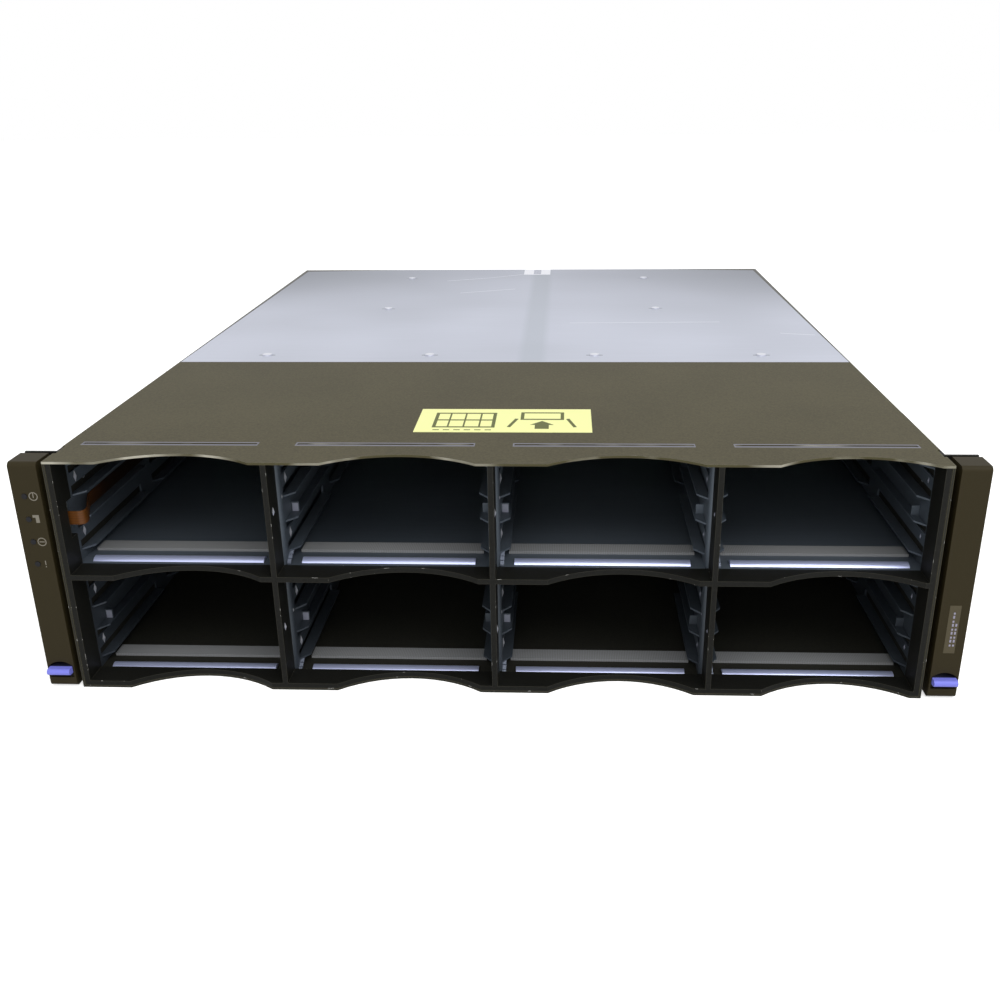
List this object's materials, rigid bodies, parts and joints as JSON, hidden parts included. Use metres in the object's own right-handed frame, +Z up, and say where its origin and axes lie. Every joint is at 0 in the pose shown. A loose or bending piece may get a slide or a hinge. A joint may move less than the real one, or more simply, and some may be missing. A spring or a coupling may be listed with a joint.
{
  "type": "disk shelf enclosure",
  "caption": "Rack-mounted drive shelf chassis with open drive bays in front, hinged end caps, and slide-out power and port modules behind.",
  "frame": {"origin": "centre of the chassis bottom face, midway between its front and rear edges", "axes": "+X to the right seen from the drive side, +Y from the drive side to the module side, +Z up"},
  "size_m": [0.4826, 0.5866, 0.1303],
  "materials": {
    "cage_steel": "tin-plated stamping",
    "cap_plastic": "dark olive-brown moulded, fine spark texture",
    "circuit_board": "green solder mask",
    "connector_plastic": "black moulded thermoplastic",
    "fan_plastic": "black glass-filled thermoplastic",
    "flange_steel": "black powder coat",
    "front_frame_paint": "dark olive-brown paint on a die-cast frame",
    "galvanised_steel": "zinc-coated sheet steel, satin with fine handling scratches",
    "gasket_foam": "grey-beige conductive fabric over foam",
    "inlet_plastic": "black moulded thermoplastic",
    "latch_plastic": "periwinkle blue moulded",
    "lever_plastic": "dark grey moulded",
    "light_pipe_plastic": "clear acrylic",
    "module_steel": "zinc-coated sheet steel",
    "painted_steel": "dark olive-brown powder coat, fine texture",
    "plated_brass": "nickel-plated blades",
    "polyimide_film": "amber-brown film",
    "rivet_steel": "zinc-plated",
    "rocker_plastic": "black moulded, semi-gloss",
    "spring_steel": "bright rolled strip"
  },
  "bodies": {
    "chassis": {"base_pan": "painted_steel", "cover_rivets": "rivet_steel", "drive_connectors": "connector_plastic", "flange_screws": "rivet_steel", "front_frame": "front_frame_paint", "gasket_pads": "gasket_foam", "grounding_strips": "spring_steel", "indicator_ribbon": "polyimide_film", "mid_shelf_1": "galvanised_steel", "mid_shelf_2": "galvanised_steel", "mid_shelf_3": "galvanised_steel", "mid_shelf_4": "galvanised_steel", "midplane_board": "circuit_board", "midplane_bracket": "galvanised_steel", "module_connectors": "connector_plastic", "module_shelf": "galvanised_steel", "partition_1": "galvanised_steel", "partition_2": "galvanised_steel", "partition_3": "galvanised_steel", "rack_flange_left": "flange_steel", "rack_flange_right": "flange_steel", "rear_divider_left": "galvanised_steel", "rear_divider_right": "galvanised_steel", "side_liner_left": "galvanised_steel", "side_liner_right": "galvanised_steel", "top_cover_front": "painted_steel", "top_cover_rear": "galvanised_steel"},
    "cap_left": {"end_cap_left": "cap_plastic", "indicator_board": "circuit_board", "light_pipes": "light_pipe_plastic"},
    "cap_right": {"end_cap_right": "cap_plastic"},
    "supply_module_left": {"fan_frame_left": "fan_plastic", "inlet_pins_left": "plated_brass", "power_inlet_left": "inlet_plastic", "supply_case_left": "module_steel", "supply_faceplate_left": "module_steel"},
    "supply_module_right": {"fan_frame_right": "fan_plastic", "inlet_pins_right": "plated_brass", "power_inlet_right": "inlet_plastic", "supply_case_right": "module_steel", "supply_faceplate_right": "module_steel"},
    "fan_wheel_left": {"fan_rotor_left": "fan_plastic"},
    "fan_wheel_right": {"fan_rotor_right": "fan_plastic"},
    "latch_left": {"latch_left": "latch_plastic"},
    "latch_right": {"latch_right": "latch_plastic"},
    "port_module_lower": {"port_cages_lower": "cage_steel", "port_case_lower": "module_steel", "port_faceplate_lower": "module_steel"},
    "port_module_upper": {"port_cages_upper": "cage_steel", "port_case_upper": "module_steel", "port_faceplate_upper": "module_steel"},
    "port_lever_lower_left": {"port_lever_lower_left": "lever_plastic"},
    "port_lever_lower_right": {"port_lever_lower_right": "lever_plastic"},
    "port_lever_upper_left": {"port_lever_upper_left": "lever_plastic"},
    "port_lever_upper_right": {"port_lever_upper_right": "lever_plastic"},
    "rocker_left": {"power_rocker_left": "rocker_plastic"},
    "rocker_right": {"power_rocker_right": "rocker_plastic"},
    "supply_lever_left": {"supply_lever_left": "lever_plastic"},
    "supply_lever_right": {"supply_lever_right": "lever_plastic"}
  },
  "joints": [
    {"name": "supply_slide_left", "type": "slide", "parent": "chassis", "child": "supply_module_left", "axis": [0, 1, 0], "range_m": [0, 0.3]},
    {"name": "fan_spin_left", "type": "hinge", "parent": "supply_module_left", "child": "fan_wheel_left", "pos_m": [-0.16975, 0.26375, 0.0831], "axis": [0, 1, 0], "continuous": true},
    {"name": "rocker_tilt_left", "type": "hinge", "parent": "supply_module_left", "child": "rocker_left", "pos_m": [-0.15275, 0.28475, 0.0215], "axis": [-1, 0, 0], "range_deg": [0, 14]},
    {"name": "supply_lever_swing_left", "type": "hinge", "parent": "supply_module_left", "child": "supply_lever_left", "pos_m": [-0.2158, 0.29225, 0.0135], "axis": [-1, 0, 0], "range_deg": [0, 70]},
    {"name": "supply_slide_right", "type": "slide", "parent": "chassis", "child": "supply_module_right", "axis": [0, 1, 0], "range_m": [0, 0.3]},
    {"name": "fan_spin_right", "type": "hinge", "parent": "supply_module_right", "child": "fan_wheel_right", "pos_m": [0.16975, 0.26375, 0.0831], "axis": [0, 1, 0], "continuous": true},
    {"name": "rocker_tilt_right", "type": "hinge", "parent": "supply_module_right", "child": "rocker_right", "pos_m": [0.18675, 0.28475, 0.0215], "axis": [-1, 0, 0], "range_deg": [0, 14]},
    {"name": "supply_lever_swing_right", "type": "hinge", "parent": "supply_module_right", "child": "supply_lever_right", "pos_m": [0.2158, 0.29225, 0.0135], "axis": [-1, 0, 0], "range_deg": [0, 70]},
    {"name": "port_slide_lower", "type": "slide", "parent": "chassis", "child": "port_module_lower", "axis": [0, 1, 0], "range_m": [0, 0.3]},
    {"name": "port_lever_swing_lower_left", "type": "hinge", "parent": "port_module_lower", "child": "port_lever_lower_left", "pos_m": [-0.104, 0.29225, 0.0127], "axis": [0, 0, 1], "range_deg": [0, 75]},
    {"name": "port_lever_swing_lower_right", "type": "hinge", "parent": "port_module_lower", "child": "port_lever_lower_right", "pos_m": [0.104, 0.29225, 0.0127], "axis": [0, 0, -1], "range_deg": [0, 75]},
    {"name": "port_slide_upper", "type": "slide", "parent": "chassis", "child": "port_module_upper", "axis": [0, 1, 0], "range_m": [0, 0.3]},
    {"name": "port_lever_swing_upper_left", "type": "hinge", "parent": "port_module_upper", "child": "port_lever_upper_left", "pos_m": [-0.104, 0.29225, 0.07565], "axis": [0, 0, 1], "range_deg": [0, 75]},
    {"name": "port_lever_swing_upper_right", "type": "hinge", "parent": "port_module_upper", "child": "port_lever_upper_right", "pos_m": [0.104, 0.29225, 0.07565], "axis": [0, 0, -1], "range_deg": [0, 75]},
    {"name": "cap_swing_left", "type": "hinge", "parent": "chassis", "child": "cap_left", "pos_m": [-0.234, -0.27375, 0.121], "axis": [-1, 0, 0], "range_deg": [0, 30]},
    {"name": "latch_press_left", "type": "hinge", "parent": "cap_left", "child": "latch_left", "pos_m": [-0.234, -0.27125, 0.0107], "axis": [1, 0, 0], "range_deg": [0, 8], "stiffness_Nm_per_rad": 0.1, "springref_deg": -5.73},
    {"name": "cap_swing_right", "type": "hinge", "parent": "chassis", "child": "cap_right", "pos_m": [0.234, -0.27375, 0.121], "axis": [-1, 0, 0], "range_deg": [0, 30]},
    {"name": "latch_press_right", "type": "hinge", "parent": "cap_right", "child": "latch_right", "pos_m": [0.234, -0.27125, 0.0107], "axis": [1, 0, 0], "range_deg": [0, 8], "stiffness_Nm_per_rad": 0.1, "springref_deg": -5.73}
  ]
}
